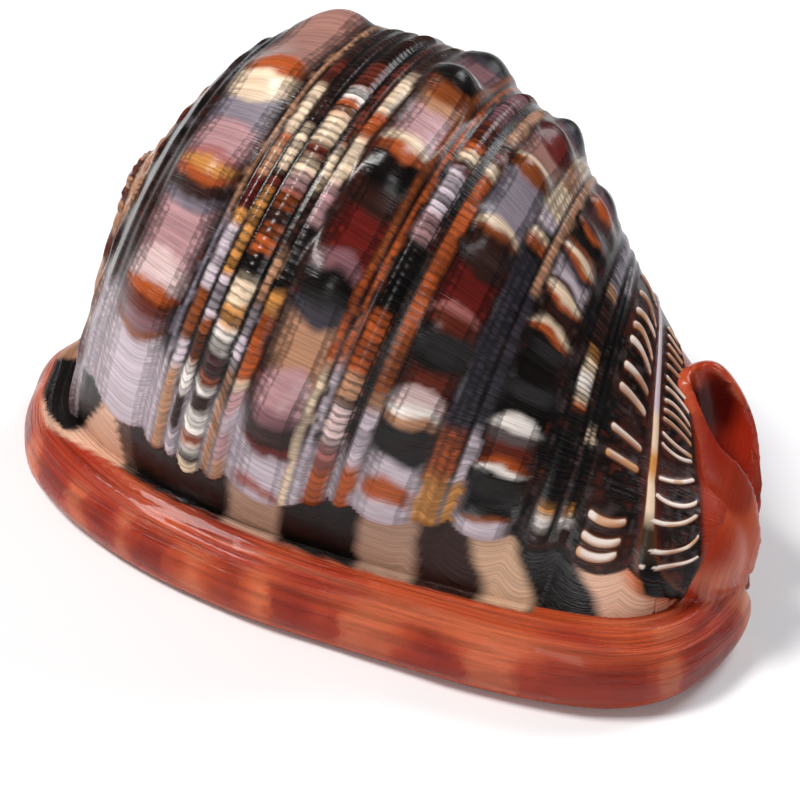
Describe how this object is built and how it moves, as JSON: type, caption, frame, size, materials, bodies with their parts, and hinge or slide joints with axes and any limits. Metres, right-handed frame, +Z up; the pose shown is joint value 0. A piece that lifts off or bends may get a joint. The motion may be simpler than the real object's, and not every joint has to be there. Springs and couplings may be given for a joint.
{
  "type": "bullmouth helmet sea shell",
  "caption": "Large knobbed helmet shell lying on its flat, thick rimmed lip, with a toothed aperture slit underneath and a short upturned canal at one end.",
  "frame": {"origin": "on the resting plane, under the middle of the shell's outline", "axes": "+Z up, away from the surface that the aperture side lies on; +X towards the siphonal canal; -Y towards the thick outer lip"},
  "size_m": [0.1482, 0.1096, 0.0889],
  "materials": {
    "shell": "polished natural shell, glossy"
  },
  "bodies": {
    "root": {"helmet_shell": "shell"}
  },
  "joints": []
}
